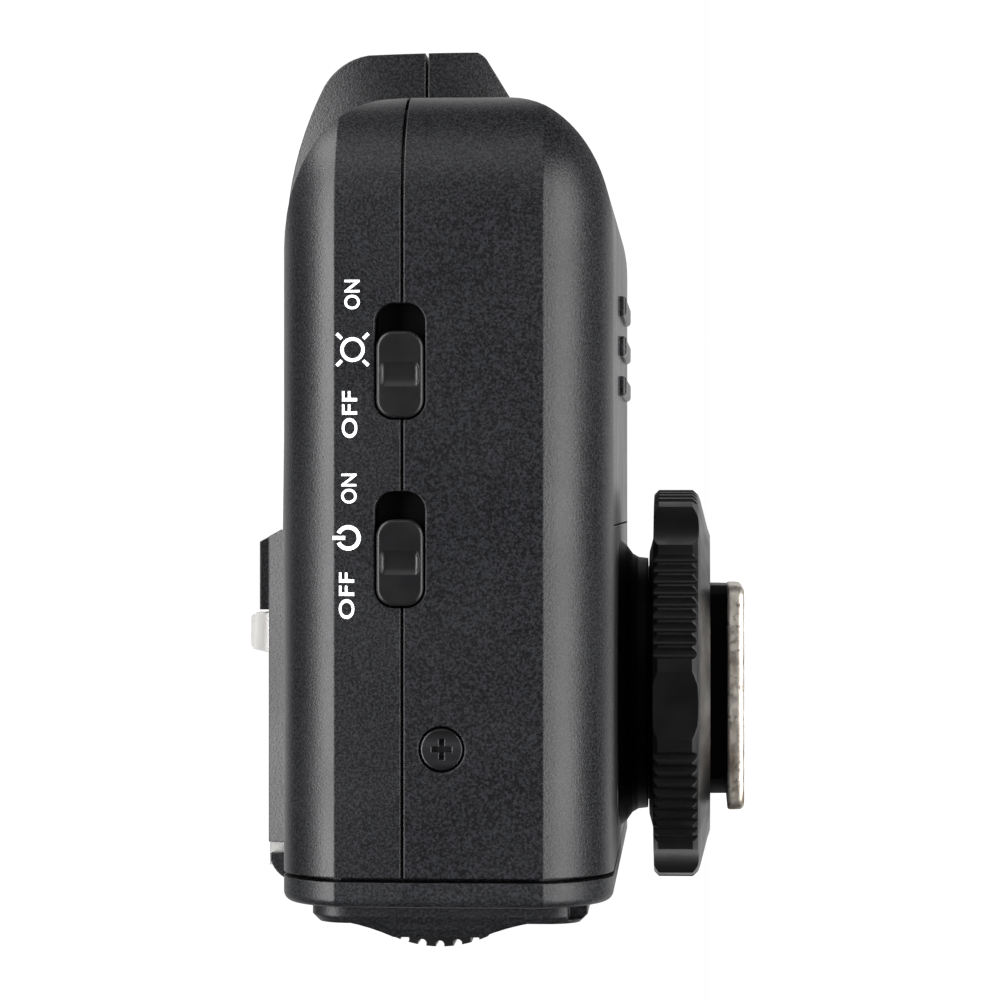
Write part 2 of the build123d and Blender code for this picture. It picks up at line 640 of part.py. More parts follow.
def battery_springs():
    """Two coil springs, one at the flat end of each cell."""
    flat = CELL_LENGTH / 2 - CELL_SHIFT
    length = CONTACT_FACE - CONTACT_THICK - flat - 0.6
    springs = []
    for name, side in (("front", -1), ("rear", 1)):
        spring = coil(2.9, 0.3, length, 3.5)
        springs.append(Pos(side * (flat + 0.3), CELL_Y[name], CELL_Z) * Rot(0, side * 90, 0) * spring)
    return Compound(children=springs)


# ---------------------------------------------------------------- boards and electronics
def main_board():
    """Main circuit board above the cells, held by four bosses."""
    board = block(BOARD_X, BOARD_Y, (BOARD_Z, BOARD_Z + BOARD_THICK))
    for x, y in BOSS_POINTS:
        board -= rod_z(x, y, (20, 40), 1.1)
    return board - block((12.0, FAR), (-10, DIAL_Y + DIAL_R - 0.4), (20, 40))


def control_board():
    """Upright board behind the rear panel."""
    return block((-27.0, 10.8), (-11.6, -10.6), (13.7, 31.8))


def radio_module():
    """Radio board with a shield can on the main board."""
    base = block((-25.0, -9.0), (8.0, 30.0), (BOARD_Z + BOARD_THICK, BOARD_Z + BOARD_THICK + 0.8))
    can = block((-24.0, -10.0), (9.0, 24.0), (BOARD_Z + BOARD_THICK + 0.8, BOARD_Z + BOARD_THICK + 2.6))
    return base + fillet(can.edges().filter_by(Axis.Z), 0.6)


def antenna():
    """Folded strip antenna at the front of the radio board."""
    low = BOARD_Z + BOARD_THICK + 0.8
    strip = Part()
    for step in range(5):
        x = -23.5 + 3.0 * step
        strip += block((x, x + 0.6), (25.2, 29.4), (low, low + 0.4))
        y = (28.8, 29.4) if step % 2 == 0 else (25.2, 25.8)
        if step < 4:
            strip += block((x, x + 3.6), y, (low, low + 0.4))
    return strip


def port_board():
    """Small board on the left that carries the two ports."""
    return block((-33.0, -20.0), (-5.9, 9.0), (PORT_BOARD_Z, PORT_BOARD_Z + 1.2))


def usb_port():
    """Micro USB receptacle: pressed metal shell with its tongue."""
    y = (USB_Y - 3.8, USB_Y + 3.8)
    shell = block((-35.7, -29.5), y, (USB_Z - 1.4, USB_Z + 1.4))
    shell = fillet(shell.edges().filter_by(Axis.X), 0.6)
    shell -= block((-37, -30.5), (y[0] + 0.35, y[1] - 0.35), (USB_Z - 1.05, USB_Z + 1.05))
    shell += block((-35.2, -30.4), (USB_Y - 2.4, USB_Y + 2.4), (USB_Z + 0.1, USB_Z + 0.6))
    return shell + block((-33.0, -30.0), (USB_Y - 2.0, USB_Y + 1.5), (PORT_BOARD_Z + 1.2, USB_Z - 1.2))


def sync_jack():
    """2.5 mm sync socket: body, round nose in the wall and a bore for the plug."""
    body = block((-34.1, -22.5), (JACK_Y - 3.0, JACK_Y + 3.0), (PORT_BOARD_Z + 1.2, JACK_Z + 3.0))
    nose = rod_x((-35.9, -34.0), JACK_Y, JACK_Z, 2.5)
    return body + nose - rod_x((-40, -24.5), JACK_Y, JACK_Z, JACK_BORE_R)


# ---------------------------------------------------------------- top shoe
def shoe_rails():
    """Folded metal shoe: base plate, side walls, inward lips and two upturned stops at the front."""
    rear = SHELL_REAR + 0.3
    metal = block((-SHOE_OUTER, SHOE_OUTER), (rear, SHOE_STOP + 0.4), (34.1, 34.9))
    for side in (1, -1):
        wall = sorted((side * SHOE_INNER, side * SHOE_OUTER))
        lip = sorted((side * LIP_INNER, side * SHOE_OUTER))
        tab = sorted((side * (LIP_INNER + 0.6), side * (SHOE_OUTER - 0.3)))
        rail = block(wall, (rear, SHOE_STOP + 0.4), (34.1, LIP_TOP))
        rail += block(lip, (RAIL_REAR, SHOE_STOP), (LIP_UNDER, LIP_TOP))
        rail += block(wall, (RAIL_REAR, rear), (SHOE_FLOOR + CLEAR, LIP_TOP))
        root = LIP_TOP - 0.2
        stop = side_plate([(2.9, root), (2.9, LIP_TOP), (3.3, TAB_TOP), (6.2, TAB_TOP), (6.2, root)], tab)
        stop = fillet(stop.edges().filter_by(Axis.X).sort_by(Axis.Z)[-2:], 0.5)
        metal += rail + stop
    for x, y in SHOE_SCREWS:
        metal -= rod_z(x, y, (30, 36), 0.85)
    return metal - block((-8.0, 8.0), (-9.0, -1.0), (30, 35.2))


def shoe_base():
    """Plastic floor of the shoe with holes for the contacts."""
    half = SHOE_INNER - 0.05
    base = block((-half, half), (SHELL_REAR + 0.4, SHOE_STOP + 0.2), (34.9, SHOE_FLOOR))
    base += block((-7.9, 7.9), (-8.9, -1.1), (33.0, 34.95))
    for x, y, radius in SHOE_CONTACTS:
        base -= rod_z(x, y, (30, 40), radius)
    for x, y in SHOE_SCREWS:
        base -= rod_z(x, y, (30, 40), 0.85)
        base -= rod_z(x, y, (SHOE_FLOOR - 0.55, 40), 1.5)
    return base


def shoe_contacts():
    """Contact studs in the shoe floor, standing slightly proud."""
    studs = []
    for x, y, radius in SHOE_CONTACTS:
        stud = rod_z(x, y, (32.2, SHOE_FLOOR + 0.12), radius)
        studs.append(chamfer(stud.edges().sort_by(Axis.Z)[-1], 0.1))
    return Compound(children=[s.solid() for s in studs])


def shoe_spring():
    """Two bowed leaf springs along the shoe floor, joined across the front."""
    leaf = Part()
    z = SHOE_FLOOR + 0.02
    for side in (1, -1):
        bow = [(-11.0, z), (-10.6, z), (-5.0, z + 0.75), (-3.6, z + 0.75), (2.4, z), (4.8, z)]
        under = [(y, height + 0.2) for y, height in reversed(bow)]
        x = sorted((side * 8.3, side * 9.2))
        leaf += side_plate(bow + under, x)
    return leaf + block((-9.2, 9.2), (3.7, 4.8), (z, z + 0.2))


def shoe_screws():
    """Four countersunk screws through the shoe floor."""
    group = []
    for x, y in SHOE_SCREWS:
        group.append(Pos(x, y, SHOE_FLOOR - 0.05) * screw(1.4, 0.5, 0.7, 3.2, 0.75))
    return Compound(children=[s.solid() for s in group])


# ---------------------------------------------------------------- foot
def foot_pedestal():
    """Neck and threaded stem between the case and the foot block, with a flange inside the case."""
    outline = [
        (0, RING_BOTTOM),
        (STEM_R, RING_BOTTOM),
        (STEM_R, NECK_BOTTOM),
        (NECK_R, NECK_BOTTOM),
        (NECK_R + 0.1, 8.9),
        (NECK_R + 0.4, 9.4),
        (NECK_R + 1.1, 9.9),
        (NECK_R + 1.5, CASE_BOTTOM),
        (NECK_R + 1.5, CASE_BOTTOM + WALL + 0.05),
        (14.2, CASE_BOTTOM + WALL + 0.05),
        (14.2, CASE_BOTTOM + WALL + 1.3),
        (0, CASE_BOTTOM + WALL + 1.3),
    ]
    body = turned(outline) - block((-FAR, FAR), (12.4, FAR), (0, FAR))
    body -= block((-FAR, FAR), (-FAR, -10.3), (CASE_BOTTOM + WALL, FAR))
    body -= block((-1.7, 1.7), (PIN_Y - 1.5, 12), (LIFTER_Z[0] - 1.4, LIFTER_Z[1] + 0.1))
    body -= rod_z(0, PIN_Y, (0, LIFTER_Z[0]), PIN_R + 0.05)
    body -= rod_z(0, PIN_Y, (LIFTER_Z[1], 10.4), 1.6)
    body -= rod_z(0, 0, (0, 7.0), 1.05)
    body -= rod_z(0, 0, (4.6, 7.0), 1.7)
    for x, y in FOOT_PINS:
        body -= rod_z(x, y, (0, 7.0), 0.7)
        body -= rod_z(x, y, (4.6, 7.0), 1.1)
    for x, y in FOOT_SCREWS:
        body -= rod_z(x, y, (0, 6.5), 0.75)
    return body


def foot_block():
    """Insulating block between stem and plate, with a plug that fills the plate's window."""
    upper = block((-BLOCK_HALF, BLOCK_HALF), BLOCK_Y, (PLATE_THICK, RING_BOTTOM))
    upper = upper & rod_z(0, 0, (0, 5), STEM_R)
    half = WINDOW_HALF - 0.05
    plug = block((-half, half), (WINDOW_Y[0] + 0.05, WINDOW_Y[1] - 0.05), (0.12, 2.0))
    plug = fillet(plug.edges().filter_by(Axis.Z), 0.9)
    body = upper + plug - rod_z(0, PIN_Y, (0, 5), PIN_R + 0.05) - rod_z(0, 0, (0, 5), 1.05)
    for x, y in FOOT_PINS:
        body -= rod_z(x, y, (0, 5), 0.7)
    for x, y in FOOT_SCREWS:
        body -= rod_z(x, y, (0, 5), 0.75)
    return body


def foot_plate():
    """Metal shoe plate with rounded corners, eased edges, a window and countersunk holes."""
    plate = block((-PLATE_HALF, PLATE_HALF), PLATE_Y, (0, PLATE_THICK))
    plate = fillet(plate.edges().filter_by(Axis.Z), 1.3)
    plate = fillet(plate.faces().sort_by(Axis.Z)[0].edges(), 0.55)
    plate = fillet(plate.faces().sort_by(Axis.Z)[-1].edges(), 0.25)
    window = block((-WINDOW_HALF, WINDOW_HALF), WINDOW_Y, (-1, 3))
    plate -= fillet(window.edges().filter_by(Axis.Z), 0.95)
    plate -= rod_z(0, PIN_Y, (-1, 3), PIN_R + 0.05)
    for x, y in FOOT_SCREWS:
        plate -= rod_z(x, y, (-1, 3), 0.75)
        plate -= Pos(x, y, 0.3) * Cone(1.35, 0.75, 0.7)
    return plate


def foot_screws():
    """Four countersunk screws that hold plate and block to the stem."""
    group = []
    for x, y in FOOT_SCREWS:
        head = Pos(x, y, 0.3) * Cone(1.3, 0.7, 0.66)
        body = head + rod_z(x, y, (0.4, 6.2), 0.7)
        body -= Pos(x, y, -0.03) * Rot(180, 0, 0) * cross_recess(0.75, 0.28, 0.5)
        group.append(body.solid())
    return Compound(children=group)


def contact_pin(x, y, radius, collar):
    """Spring contact: round tip below the insulating block, collar above it."""
    tip = rod_z(x, y, (0.05, 5.0), radius)
    tip = fillet(tip.edges().sort_by(Axis.Z)[0], radius * 0.45)
    return tip + rod_z(x, y, (4.75, 5.35), collar)


def lifter_form():
    """Keyed washer inside the ring, with an arm that reaches the lock pin."""
    washer = rod_z(0, 0, LIFTER_Z, 12.0) - rod_z(0, 0, (0, 20), STEM_R + 0.08)
    arm = block((-1.5, 1.5), (PIN_Y - 1.3, 10.3), LIFTER_Z)
    return washer + arm - rod_z(0, PIN_Y, (0, 20), PIN_R)


def lock_ring():
    """Knurled and scalloped lock ring, bored to run on the stem, with a groove for the keyed washer."""
    rim = RING_R
    outline = [
        (RING_BORE, RING_BOTTOM),
        (12.5, RING_BOTTOM),
        (13.2, RING_BOTTOM + 0.23),
        (15.5, RING_BOTTOM + 0.81),
        (rim - 0.4, RING_RIM[0]),
        (rim, RING_RIM[0] + 0.45),
        (rim, RING_RIM[1] - 0.4),
        (rim - 0.4, RING_RIM[1]),
        (12.7, RING_RIM[1]),
        (12.7, LIFTER_Z[1] + 0.2),
        (12.15, LIFTER_Z[1] + 0.2),
        (12.15, LIFTER_Z[0] - 0.1),
        (RING_BORE, LIFTER_Z[0] - 0.1),
    ]
    ring = turned(outline)
    half = rim * sin(radians(SCALLOP_HALF_ANGLE))
    cut_r = (half**2 + SCALLOP_DEPTH**2) / (2 * SCALLOP_DEPTH)
    cutters = Part()
    for index in range(SCALLOPS):
        angle = SCALLOP_ANGLE + index * 360 / SCALLOPS
        cutters += Rot(0, 0, angle) * rod_z(rim - SCALLOP_DEPTH + cut_r, 0, (0, 10), cut_r)
        middle = angle + 180 / SCALLOPS
        for groove in range(RIDGES):
            turn = middle + (groove - (RIDGES - 1) / 2) * RIDGE_PITCH
            cutters += Rot(0, 0, turn) * rod_z(rim + 0.1, 0, (0, 10), RIDGE_GROOVE_R)
    return ring - cutters


def lock_ring_cover():
    """Ring-shaped cover pressed into the top of the lock ring over the keyed washer."""
    z = LIFTER_Z[1] + 0.2
    return turned([(RING_BORE, z), (12.7, z), (12.7, RING_RIM[1]), (11.2, RING_TOP), (RING_BORE, RING_TOP)])


def lock_pin():
    """Pin that locks into the camera shoe, with a collar under the washer's arm."""
    pin = rod_z(0, PIN_Y, (0.2, LIFTER_Z[1] + 0.8), PIN_R)
    return fillet(pin.edges().sort_by(Axis.Z)[0], 0.3)


# ---------------------------------------------------------------- mat, springs and screws
def button_mat():
    """Rubber mat with a pad under each panel button and under the test button."""
    mat = block((-28.0, 4.4), (-12.6, -11.7), (13.7, 18.4))
    mat += block((4.0, 8.0), (-12.6, -11.7), (13.7, 31.4))
    mat += block((TEST_X - 4.0, TEST_X + 3.8), (-12.6, -11.7), (24.0, 31.4))
    for x in BUTTON_X.values():
        mat += rod_y(x, (-14.0, -12.5), BUTTON_Z, 1.3)
    return mat + rod_y(TEST_X, (-14.0, -12.5), TEST_Z, 1.8)


def lock_pin_spring():
    """Return spring above the lock pin's arm."""
    return Pos(0, PIN_Y, LIFTER_Z[1] + 0.25) * coil(1.25, 0.16, 10.15 - LIFTER_Z[1] - 0.25, 5)


def contact_spring(x, y, radius):
    """Small spring above a contact pin's collar."""
    return Pos(x, y, 5.55) * coil(radius, 0.12, 1.25, 3)


def case_screws():
    """Two side screws and two screws from below near the rear."""
    group = []
    y, z = SIDE_SCREW
    for side in (1, -1):
        place = Pos(side * (HALF_WIDTH - 0.12), y, z) * Rot(0, side * 90, 0)
        group.append((place * screw(SCREW_HEAD_R, 0.6, 1.0, 4.4, 0.8)).solid())
    for x, y in LOWER_SCREWS:
        place = Pos(x, y, CASE_BOTTOM + 0.5) * Rot(180, 0, 0)
        group.append((place * screw(1.9, 1.3, 0.8, 20.0, 0.9)).solid())
    return Compound(children=group)


def board_screws():
    """Four screws that hold the main board to its bosses."""
    group = []
    for x, y in BOSS_POINTS:
        place = Pos(x, y, BOARD_Z - 0.9) * Rot(180, 0, 0)
        group.append((place * screw(1.7, 0.9, 0.75, 4.0, 0.8)).solid())
    return Compound(children=group)


# ---------------------------------------------------------------- build all
def pair(points, make):
    """Group of separate solids, one per point."""
    return Compound(children=[make(*point).solid() for point in points])


def build():
    """Make every node."""
    nodes = {
        "upper_shell": upper_shell(),
        "lower_shell": lower_shell(),
        "rear_cap": rear_cap(),
        "lcd_window": lcd_window(),
        "lcd_module": block(
            (LCD_X[0] + 0.3, LCD_X[1] - 0.3), (-15.3, -13.4), (LCD_Z[0] + 0.3, LCD_Z[1] - 0.3)
        ),
        "lcd_backlight": block(
            (LCD_X[0] + 1.3, LCD_X[1] - 1.3), (-13.4, -12.2), (LCD_Z[0] + 0.3, LCD_Z[1] - 1.3)
        ),
        "button_mat": button_mat(),
        "test_button": test_button(),
        "status_light_pipe": rod_y(TEST_X, (FASCIA_Y - 0.1, -11.9), LIGHT_Z, LIGHT_R),
        "select_dial": select_dial(),
        "dial_axle": rod_x((18.2, 31.9), DIAL_Y, DIAL_Z, AXLE_R),
        "dial_bracket": dial_bracket(),
        "dial_encoder": dial_encoder(),
        "lamp_lens": lamp_opening(0) & hump_form(LAMP_INSET),
        "lamp_led": block((-1.6, 1.6), (45.4, 46.6), (29.0, 32.0)) + rod_y(0, (46.6, 48.4), 30.5, 1.3),
        "battery_door": battery_door(),
        "battery_cell_front": battery_cell(CELL_Y["front"], 1),
        "battery_cell_rear": battery_cell(CELL_Y["rear"], -1),
        "battery_tray": battery_tray(),
        "battery_contacts": battery_contacts(),
        "battery_springs": battery_springs(),
        "main_board": main_board(),
        "control_board": control_board(),
        "radio_module": radio_module(),
        "antenna": antenna(),
        "port_board": port_board(),
        "usb_port": usb_port(),
        "sync_jack": sync_jack(),
        "shoe_rails": shoe_rails(),
        "shoe_base": shoe_base(),
        "shoe_contacts": shoe_contacts(),
        "shoe_spring": shoe_spring(),
        "shoe_screws": shoe_screws(),
        "foot_pedestal": foot_pedestal(),
        "foot_block": foot_block(),
        "foot_plate": foot_plate(),
        "foot_screws": foot_screws(),
        "foot_contact_centre": contact_pin(0, 0, FOOT_CENTRE_R, 1.6),
        "foot_contact_pins": pair(FOOT_PINS, lambda x, y: contact_pin(x, y, FOOT_PIN_R, 1.0)),
        "pin_lifter": lifter_form(),
        "lock_pin": lock_pin(),
        "lock_ring": lock_ring(),
        "lock_ring_cover": lock_ring_cover(),
        "lock_pin_spring": lock_pin_spring(),
        "foot_centre_spring": contact_spring(0, 0, 0.9),
        "foot_pin_springs": pair(FOOT_PINS, lambda x, y: contact_spring(x, y, 0.7)),
        "case_screws": case_screws(),
        "board_screws": board_screws(),
    }
    for name, x in BUTTON_X.items():
        nodes[name] = button_cap(x)
    for name, start in SWITCHES.items():
        nodes[f"{name}_switch_knob"] = switch_knob(start)
        nodes[f"{name}_switch_body"] = switch_body(start)
    return nodes


os.makedirs("parts", exist_ok=True)
for node_name, node_shape in build().items():
    save(node_name, node_shape)
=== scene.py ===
import math

import bmesh
import bpy
from mathutils import Matrix, Vector


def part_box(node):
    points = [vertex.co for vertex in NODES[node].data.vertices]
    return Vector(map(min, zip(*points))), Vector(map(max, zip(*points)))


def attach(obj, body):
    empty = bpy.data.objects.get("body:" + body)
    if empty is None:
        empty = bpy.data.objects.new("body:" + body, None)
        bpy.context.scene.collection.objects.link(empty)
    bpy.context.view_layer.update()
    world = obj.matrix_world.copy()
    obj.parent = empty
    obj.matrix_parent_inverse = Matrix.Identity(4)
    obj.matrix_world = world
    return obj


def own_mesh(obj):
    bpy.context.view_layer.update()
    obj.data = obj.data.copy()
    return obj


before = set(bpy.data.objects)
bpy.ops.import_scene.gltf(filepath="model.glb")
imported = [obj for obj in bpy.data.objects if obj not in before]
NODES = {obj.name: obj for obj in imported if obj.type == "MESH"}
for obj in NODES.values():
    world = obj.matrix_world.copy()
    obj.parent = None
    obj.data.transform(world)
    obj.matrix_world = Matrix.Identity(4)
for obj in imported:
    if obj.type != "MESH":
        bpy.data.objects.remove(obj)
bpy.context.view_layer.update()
MM = 0.001

# ---- places taken from the frame, in metres ----
FLANK_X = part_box("lower_shell")[1].x
POWER_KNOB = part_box("power_switch_knob")
LAMP_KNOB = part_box("lamp_switch_knob")
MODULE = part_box("lcd_module")
FASCIA_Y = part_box("lcd_window")[0].y
KNOB_Z = (POWER_KNOB[0].z + POWER_KNOB[1].z) / 2


# ------------------------------------------------------------------ materials
PLASTIC_SHEEN = 0.45
PLASTIC_IOR = 1.49  # acrylic


class Surface:
    """A procedural material on one Principled shader, built up feature by feature; sizes in metres."""

    def __init__(self, name, colour, roughness, metallic=0.0, specular=0.5):
        self.material = bpy.data.materials.new(name)
        self.material.use_nodes = True
        self.nodes = self.material.node_tree.nodes
        self.links = self.material.node_tree.links
        self.shader = self.nodes["Principled BSDF"]
        self.colour = (*colour, 1.0)
        self.shader.inputs["Base Color"].default_value = self.colour
        self.shader.inputs["Roughness"].default_value = roughness
        self.shader.inputs["Metallic"].default_value = metallic
        self.shader.inputs["Specular IOR Level"].default_value = specular
        self.place = self.nodes.new("ShaderNodeTexCoord").outputs["Object"]
        self.normal = None

    def noise(self, size, detail=2.0, stretch=(1, 1, 1)):
        """Noise value with features about size metres across."""
        mapping = self.nodes.new("ShaderNodeMapping")
        mapping.inputs["Scale"].default_value = stretch
        self.links.new(self.place, mapping.inputs["Vector"])
        noise = self.nodes.new("ShaderNodeTexNoise")
        noise.inputs["Scale"].default_value = 1 / size
        noise.inputs["Detail"].default_value = detail
        self.links.new(mapping.outputs["Vector"], noise.inputs["Vector"])
        return noise.outputs["Fac"]

    def ramp(self, value, low, high, start=0.3, stop=0.7):
        """Value remapped from start..stop to low..high."""
        node = self.nodes.new("ShaderNodeMapRange")
        for name, number in (("From Min", start), ("From Max", stop), ("To Min", low), ("To Max", high)):
            node.inputs[name].default_value = number
        self.links.new(value, node.inputs["Value"])
        return node.outputs["Result"]

    def rounded_edges(self, radius):
        """Shade sharp edges as if they had this radius."""
        node = self.nodes.new("ShaderNodeBevel")
        node.samples = 6
        node.inputs["Radius"].default_value = radius
        self.normal = node.outputs["Normal"]
        return self

    def grain(self, size, depth, detail=2.0, stretch=(1, 1, 1)):
        """Surface bump of a given feature size and depth."""
        bump = self.nodes.new("ShaderNodeBump")
        bump.inputs["Distance"].default_value = depth
        bump.inputs["Strength"].default_value = 1.0
        self.links.new(self.noise(size, detail, stretch), bump.inputs["Height"])
        if self.normal is not None:
            self.links.new(self.normal, bump.inputs["Normal"])
        self.normal = bump.outputs["Normal"]
        return self

    def tint(self, size, other, low=0.35, high=0.65, detail=2.0, stretch=(1, 1, 1)):
        """Blend towards another colour in patches."""
        mix = self.nodes.new("ShaderNodeMix")
        mix.data_type = "RGBA"
        current = self.shader.inputs["Base Color"]
        if current.is_linked:
            self.links.new(current.links[0].from_socket, mix.inputs["A"])
        else:
            mix.inputs["A"].default_value = self.colour
        mix.inputs["B"].default_value = (*other, 1.0)
        share = self.ramp(self.noise(size, detail, stretch), 0.0, 1.0, low, high)
        self.links.new(share, mix.inputs["Factor"])
        self.links.new(mix.outputs["Result"], current)
        return self

    def polish(self, size, low, high, detail=3.0, stretch=(1, 1, 1)):
        """Vary roughness between two values."""
        rough = self.ramp(self.noise(size, detail, stretch), low, high)
        self.links.new(rough, self.shader.inputs["Roughness"])
        return self

    def done(self):
        if self.normal is not None:
            self.links.new(self.normal, self.shader.inputs["Normal"])
        return self.material


def moulded(name, colour, fleck, roughness, depth):
    """Spark-eroded black plastic: fine grain, pale flecks, roughness that drifts a little."""
    surface = Surface(name, colour, roughness, specular=PLASTIC_SHEEN)
    surface.rounded_edges(0.18 * MM)
    surface.tint(0.19 * MM, fleck, 0.39, 0.67, detail=1.5)
    surface.polish(9 * MM, roughness - 0.03, roughness + 0.05)
    return surface.grain(0.18 * MM, depth, detail=1.5).done()


def smooth_plastic(name, colour, roughness, radius=0.12 * MM, specular=PLASTIC_SHEEN):
    """Plain black plastic with faint rubbed patches."""
    surface = Surface(name, colour, roughness, specular=specular)
    surface.rounded_edges(radius)
    surface.polish(2.5 * MM, roughness - 0.06, roughness + 0.08)
    return surface.grain(0.35 * MM, 0.004 * MM).done()


def bright_metal(name, colour, roughness, stretch):
    """Metal with a fine drawn grain along one direction."""
    surface = Surface(name, colour, roughness, metallic=1.0)
    surface.rounded_edges(0.1 * MM)
    surface.polish(0.9 * MM, roughness - 0.05, roughness + 0.08, stretch=stretch)
    return surface.grain(0.07 * MM, 0.0012 * MM, detail=1.0, stretch=stretch).done()


def mottled_plate():
    """Nickel-plated foot plate: warm, with soft brownish patches and smaller darker brown spots laid at
    random.
    """
    surface = Surface("foot_plate_metal", (0.80, 0.75, 0.67), 0.45, metallic=1.0)
    surface.rounded_edges(0.15 * MM)
    surface.tint(1.9 * MM, (0.36, 0.30, 0.245), 0.42, 0.66, detail=5.0, stretch=(1, 0.5, 1.6))
    surface.tint(0.5 * MM, (0.20, 0.17, 0.145), 0.56, 0.76, detail=3.0)
    surface.polish(0.8 * MM, 0.40, 0.58, detail=4.0)
    return surface.grain(0.22 * MM, 0.004 * MM, detail=2.0).done()


def clear(name, colour, roughness, weight, haze=0.04):
    """See-through plastic whose surface is a little hazy in patches."""
    surface = Surface(name, colour, roughness, specular=0.5)
    surface.shader.inputs["Transmission Weight"].default_value = weight
    surface.shader.inputs["IOR"].default_value = PLASTIC_IOR
    return surface.polish(4 * MM, roughness, roughness + haze).done()


def ink(name, colour):
    """Printed ink with slight mottling."""
    surface = Surface(name, colour, 0.5)
    surface.tint(0.3 * MM, tuple(0.86 * c for c in colour))
    return surface.done()


def circuit_board():
    """Green solder mask over faint copper runs."""
    surface = Surface("board_mask", (0.01, 0.075, 0.035), 0.35)
    surface.tint(1.6 * MM, (0.02, 0.12, 0.06), 0.48, 0.54, detail=0.0, stretch=(1, 0.2, 1))
    return surface.grain(0.8 * MM, 0.01 * MM).done()


# noise stretched twelvefold along one axis, for drawn metal
ALONG_X = (0.08, 1, 1)
ALONG_Y = (1, 0.08, 1)
ALONG_Z = (1, 1, 0.08)

CASE = moulded("case_plastic", (0.0013, 0.0013, 0.0017), (0.0124, 0.0128, 0.0156), 0.37, 0.022 * MM)
PANEL = moulded("panel_plastic", (0.002, 0.0021, 0.0026), (0.0145, 0.015, 0.018), 0.42, 0.02 * MM)
KNOB = smooth_plastic("knob_plastic", (0.0045, 0.0045, 0.005), 0.34)
RING = smooth_plastic("ring_plastic", (0.0022, 0.0022, 0.0027), 0.36, 0.14 * MM)
FOOT = smooth_plastic("foot_plastic", (0.0008, 0.0008, 0.0009), 0.5, specular=0.2)
BUTTON = smooth_plastic("button_plastic", (0.055, 0.057, 0.062), 0.42)
DIAL = smooth_plastic("dial_plastic", (0.005, 0.005, 0.0056), 0.38)
PLATE = mottled_plate()
SHOE = bright_metal("shoe_metal", (0.86, 0.85, 0.83), 0.48, ALONG_Y)
STEEL = bright_metal("bare_steel", (0.58, 0.57, 0.55), 0.3, ALONG_X)
SPRING = bright_metal("spring_steel", (0.62, 0.61, 0.6), 0.24, ALONG_Z)
DARK_STEEL = bright_metal("blackened_steel", (0.075, 0.075, 0.08), 0.36, ALONG_Z)
GOLD = bright_metal("contact_gold", (0.83, 0.62, 0.28), 0.26, ALONG_Z)
CAN = bright_metal("tinned_steel", (0.66, 0.66, 0.65), 0.34, ALONG_Y)
BOARD = circuit_board()
RUBBER = smooth_plastic("mat_rubber", (0.05, 0.05, 0.052), 0.7)
CELL = smooth_plastic("cell_wrap", (0.02, 0.02, 0.026), 0.3)
WINDOW = clear("window_plastic", (0.90, 0.92, 0.91), 0.0, 1.0, 0.004)
LENS = clear("lens_plastic", (0.13, 0.005, 0.006), 0.12, 0.5)
LED = clear("led_resin", (0.8, 0.25, 0.2), 0.08, 0.8)
PIPE = clear("light_pipe", (0.75, 0.78, 0.78), 0.12, 0.7)
DISPLAY = ink("display_face", (0.25, 0.30, 0.22))
DIFFUSER = ink("backlight_white", (0.75, 0.75, 0.72))
SEGMENT = ink("display_segment", (0.012, 0.016, 0.02))
WHITE = ink("legend_white", (0.86, 0.87, 0.88))

MATERIALS = {
    "upper_shell": CASE, "lower_shell": CASE, "battery_door": CASE, "rear_cap": PANEL,
    "lcd_window": WINDOW, "lcd_module": DISPLAY, "lcd_backlight": DIFFUSER, "button_mat": RUBBER,
    "status_light_pipe": PIPE, "select_dial": DIAL, "dial_axle": STEEL, "dial_bracket": STEEL,
    "dial_encoder": KNOB, "lamp_lens": LENS, "lamp_led": LED, "battery_cell_front": CELL,
    "battery_cell_rear": CELL, "battery_tray": FOOT, "battery_contacts": STEEL, "battery_springs": SPRING,
    "main_board": BOARD, "control_board": BOARD, "radio_module": CAN, "antenna": GOLD, "port_board": BOARD,
    "usb_port": CAN, "sync_jack": KNOB, "shoe_rails": SHOE, "shoe_base": FOOT, "shoe_contacts": GOLD,
    "shoe_spring": SPRING, "shoe_screws": DARK_STEEL, "foot_pedestal": FOOT, "foot_block": FOOT,
    "foot_plate": PLATE, "foot_screws": DARK_STEEL, "foot_contact_centre": GOLD, "foot_contact_pins": GOLD,
    "pin_lifter": STEEL, "lock_pin": STEEL, "lock_ring": RING, "lock_ring_cover": RING,
    "lock_pin_spring": SPRING, "foot_centre_spring": SPRING, "foot_pin_springs": SPRING,
    "case_screws": DARK_STEEL, "board_screws": DARK_STEEL, "power_switch_knob": KNOB,
    "power_switch_body": FOOT, "lamp_switch_knob": KNOB, "lamp_switch_body": FOOT,
}
for node, shown in NODES.items():
    shown.data.materials.clear()
    shown.data.materials.append(MATERIALS.get(node, BUTTON))  # the buttons share one plastic


# ------------------------------------------------------------------ printed legends
INK_LIFT = 0.004 * MM
PANEL_INK = FASCIA_Y - INK_LIFT
DISPLAY_INK = MODULE[0].y - INK_LIFT
INK_THICK = 0.02 * MM
LETTER_WEIGHT = 0.016
WORD_RISE = 1.19 * MM
REARWARD = Vector((0, -1, 0))


def from_bmesh(name, mesh, material, body="case"):
    """Finish a bmesh as an object that rides on a body."""
    data = bpy.data.meshes.new(name)
    mesh.to_mesh(data)
    mesh.free()
    data.materials.append(material)
    made = bpy.data.objects.new(name, data)
    bpy.context.scene.collection.objects.link(made)
    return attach(made, body)


